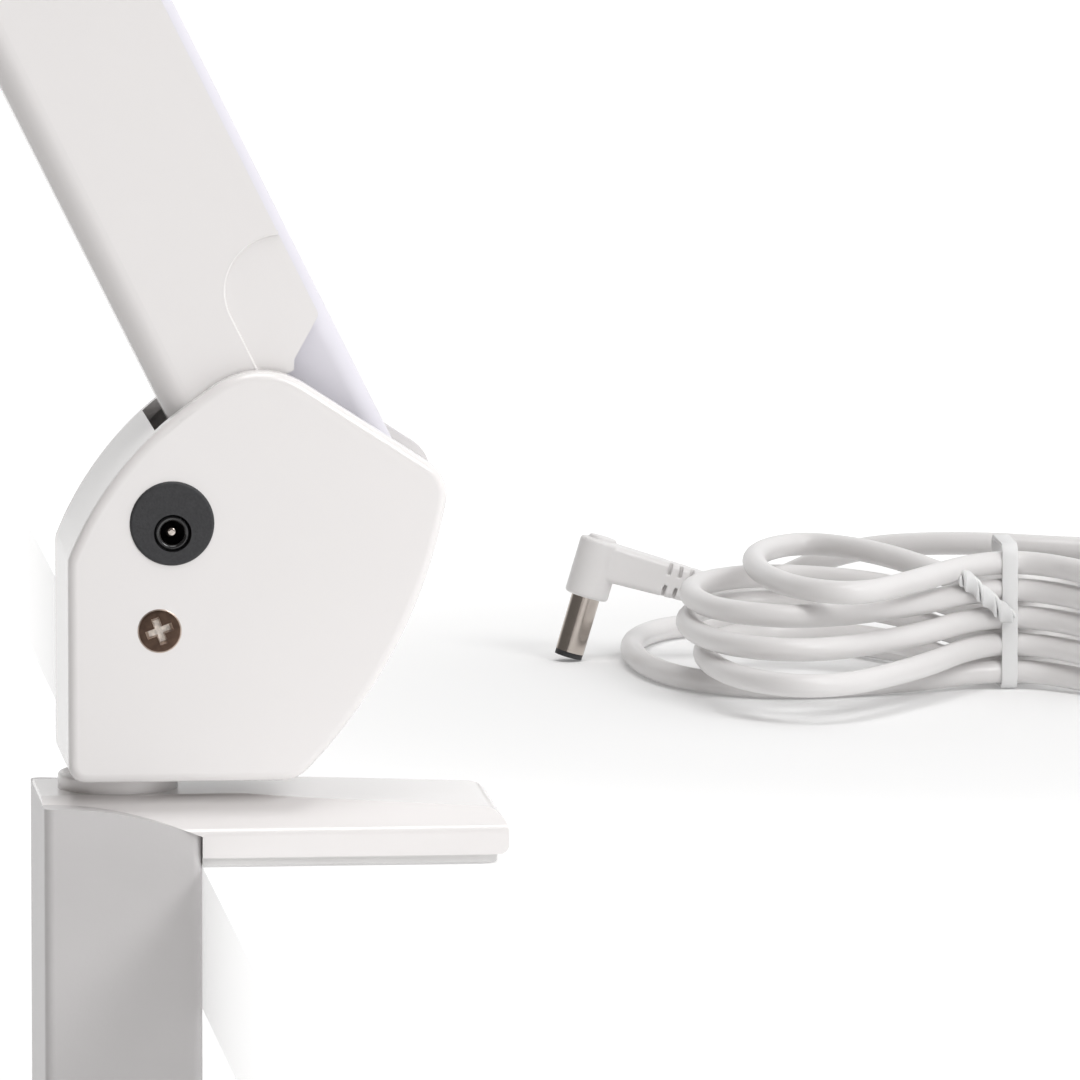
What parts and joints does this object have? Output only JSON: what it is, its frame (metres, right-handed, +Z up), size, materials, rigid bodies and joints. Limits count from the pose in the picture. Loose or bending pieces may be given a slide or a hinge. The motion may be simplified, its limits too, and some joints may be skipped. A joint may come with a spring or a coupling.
{
  "type": "clamp magnifier lamp",
  "caption": "Ring-light magnifier lamp on two parallelogram swing arms and a table clamp, with an unplugged power lead and mains adapter lying beside it.",
  "frame": {"origin": "centre of the rubber seat under the upper jaw, where the clamp stands on the table's top", "axes": "+Z up, +X from the clamp's stem over the table, arms swing in the XZ plane"},
  "size_m": [0.6862, 0.3886, 0.7494],
  "materials": {
    "white_gloss": "glossy",
    "white_inner": "semi-gloss",
    "white_frame": "gloss powder coat",
    "knob_white": "semi-gloss",
    "steel": "zinc plated",
    "bright_steel": "bright",
    "nickel": "polished",
    "black_plastic": "fine grain",
    "rubber": "matt",
    "cord_white": "satin",
    "lens_glass": "polished",
    "lens_frame": "satin",
    "board": "satin",
    "led": "glossy",
    "diffuser": "frosted"
  },
  "bodies": {
    "clamp": {"clamp_frame": "white_frame", "upper_jaw": "white_gloss", "jaw_pad": "rubber", "swivel_bush": "white_gloss", "dc_plug_body": "cord_white", "dc_plug_barrel": "nickel", "dc_plug_tip": "black_plastic", "cord_lead": "cord_white", "cord_hank": "cord_white", "cord_tail": "cord_white", "twist_tie": "cord_white", "adapter_lower_case": "white_gloss", "adapter_upper_case": "white_gloss", "adapter_relief": "cord_white", "adapter_prongs": "nickel"},
    "pressure_foot": {"pressure_plate": "steel", "pressure_pad": "rubber"},
    "screw": {"clamp_screw": "bright_steel", "clamp_knob": "knob_white"},
    "foot": {"housing_front_shell": "white_gloss", "housing_back_shell": "white_gloss", "base_bracket": "steel", "swivel_pin": "steel", "base_pivot_pins": "bright_steel", "dc_jack_body": "black_plastic", "dc_jack_pin": "nickel", "housing_screws": "nickel"},
    "lower_arm": {"lower_arm_outer_cover": "white_gloss", "lower_arm_rail": "steel", "lower_arm_springs": "bright_steel"},
    "lower_tie": {"lower_arm_inner_cover": "white_inner", "lower_tie_bar": "steel"},
    "elbow": {"elbow_front_cover": "white_gloss", "elbow_back_cover": "white_gloss", "elbow_bracket": "steel", "elbow_pivot_pins": "bright_steel", "elbow_screws": "bright_steel"},
    "upper_arm": {"upper_arm_outer_cover": "white_gloss", "upper_arm_rail": "steel", "upper_arm_springs": "bright_steel"},
    "upper_tie": {"upper_arm_inner_cover": "white_inner", "upper_tie_bar": "steel"},
    "head_joint": {"head_bracket": "steel", "head_joint_front_cover": "white_gloss", "head_joint_back_cover": "white_gloss", "head_pivot_pins": "bright_steel"},
    "neck": {"neck_fork": "white_gloss", "tilt_bolt": "bright_steel"},
    "tilt_knob": {"tilt_knob": "knob_white"},
    "head": {"head_upper_shell": "white_gloss", "head_lower_shell": "white_gloss", "head_lug": "white_gloss", "lens": "lens_glass", "lens_ring": "lens_frame", "led_board": "board", "leds": "led", "diffuser": "diffuser", "cover_hinge_pin": "bright_steel"},
    "lens_cover": {"lens_cover": "white_inner"},
    "power_button": {"power_button": "knob_white"}
  },
  "joints": [
    {"name": "clamp_slide", "type": "slide", "parent": "clamp", "child": "pressure_foot", "axis": [0, 0, 1], "range_m": [-0.028, 0.017]},
    {"name": "clamp_screw_turn", "type": "hinge", "parent": "pressure_foot", "child": "screw", "pos_m": [0, 0, -0.06], "axis": [0, 0, 1], "range_deg": [-5040, 3060]},
    {"name": "foot_swivel", "type": "hinge", "parent": "clamp", "child": "foot", "pos_m": [-0.0397, 0, 0], "axis": [0, 0, 1], "continuous": true},
    {"name": "lower_arm_hinge", "type": "hinge", "parent": "foot", "child": "lower_arm", "pos_m": [-0.0145, 0, 0.066], "axis": [0, 1, 0], "range_deg": [-5, 72], "deforming": ["lower_arm_springs"]},
    {"name": "lower_tie_hinge", "type": "hinge", "parent": "foot", "child": "lower_tie", "pos_m": [0.0023, 0, 0.066], "axis": [0, 1, 0], "range_deg": [-6, 73]},
    {"name": "elbow_hinge", "type": "hinge", "parent": "lower_arm", "child": "elbow", "pos_m": [-0.19235, 0, 0.42429], "axis": [0, 1, 0], "range_deg": [-73, 6]},
    {"name": "upper_arm_hinge", "type": "hinge", "parent": "elbow", "child": "upper_arm", "pos_m": [-0.18395, 0, 0.47308], "axis": [0, 1, 0], "range_deg": [-25, 55], "deforming": ["upper_arm_springs"]},
    {"name": "upper_tie_hinge", "type": "hinge", "parent": "elbow", "child": "upper_tie", "pos_m": [-0.18395, 0, 0.45628], "axis": [0, 1, 0], "range_deg": [-26, 56]},
    {"name": "head_joint_hinge", "type": "hinge", "parent": "upper_arm", "child": "head_joint", "pos_m": [0.19192, 0, 0.60989], "axis": [0, 1, 0], "range_deg": [-56, 26]},
    {"name": "neck_swivel", "type": "hinge", "parent": "head_joint", "child": "neck", "pos_m": [0.22192, 0, 0.60989], "axis": [0, 0, 1], "range_deg": [-90, 90]},
    {"name": "head_tilt", "type": "hinge", "parent": "neck", "child": "head", "pos_m": [0.23892, 0, 0.56559], "axis": [0, 1, 0], "range_deg": [-35, 70]},
    {"name": "tilt_knob_turn", "type": "hinge", "parent": "neck", "child": "tilt_knob", "pos_m": [0.23892, -0.02, 0.56559], "axis": [0, 1, 0], "range_deg": [0, 540]},
    {"name": "lens_cover_hinge", "type": "hinge", "parent": "head", "child": "lens_cover", "pos_m": [0.28792, 0, 0.58679], "axis": [0, -1, 0], "range_deg": [0, 100]},
    {"name": "power_button_press", "type": "slide", "parent": "head", "child": "power_button", "axis": [0, 0, -1], "range_m": [0, 0.0012], "stiffness_N_per_m": 600, "springref_m": -0.0008}
  ],
  "couplings": [
    {"joint": "clamp_screw_turn", "follows": "clamp_slide", "rad_per_m": 3141.6},
    {"joint": "lower_tie_hinge", "follows": "lower_arm_hinge", "ratio": 1},
    {"joint": "elbow_hinge", "follows": "lower_arm_hinge", "ratio": -1},
    {"joint": "upper_tie_hinge", "follows": "upper_arm_hinge", "ratio": 1},
    {"joint": "head_joint_hinge", "follows": "upper_arm_hinge", "ratio": -1}
  ]
}
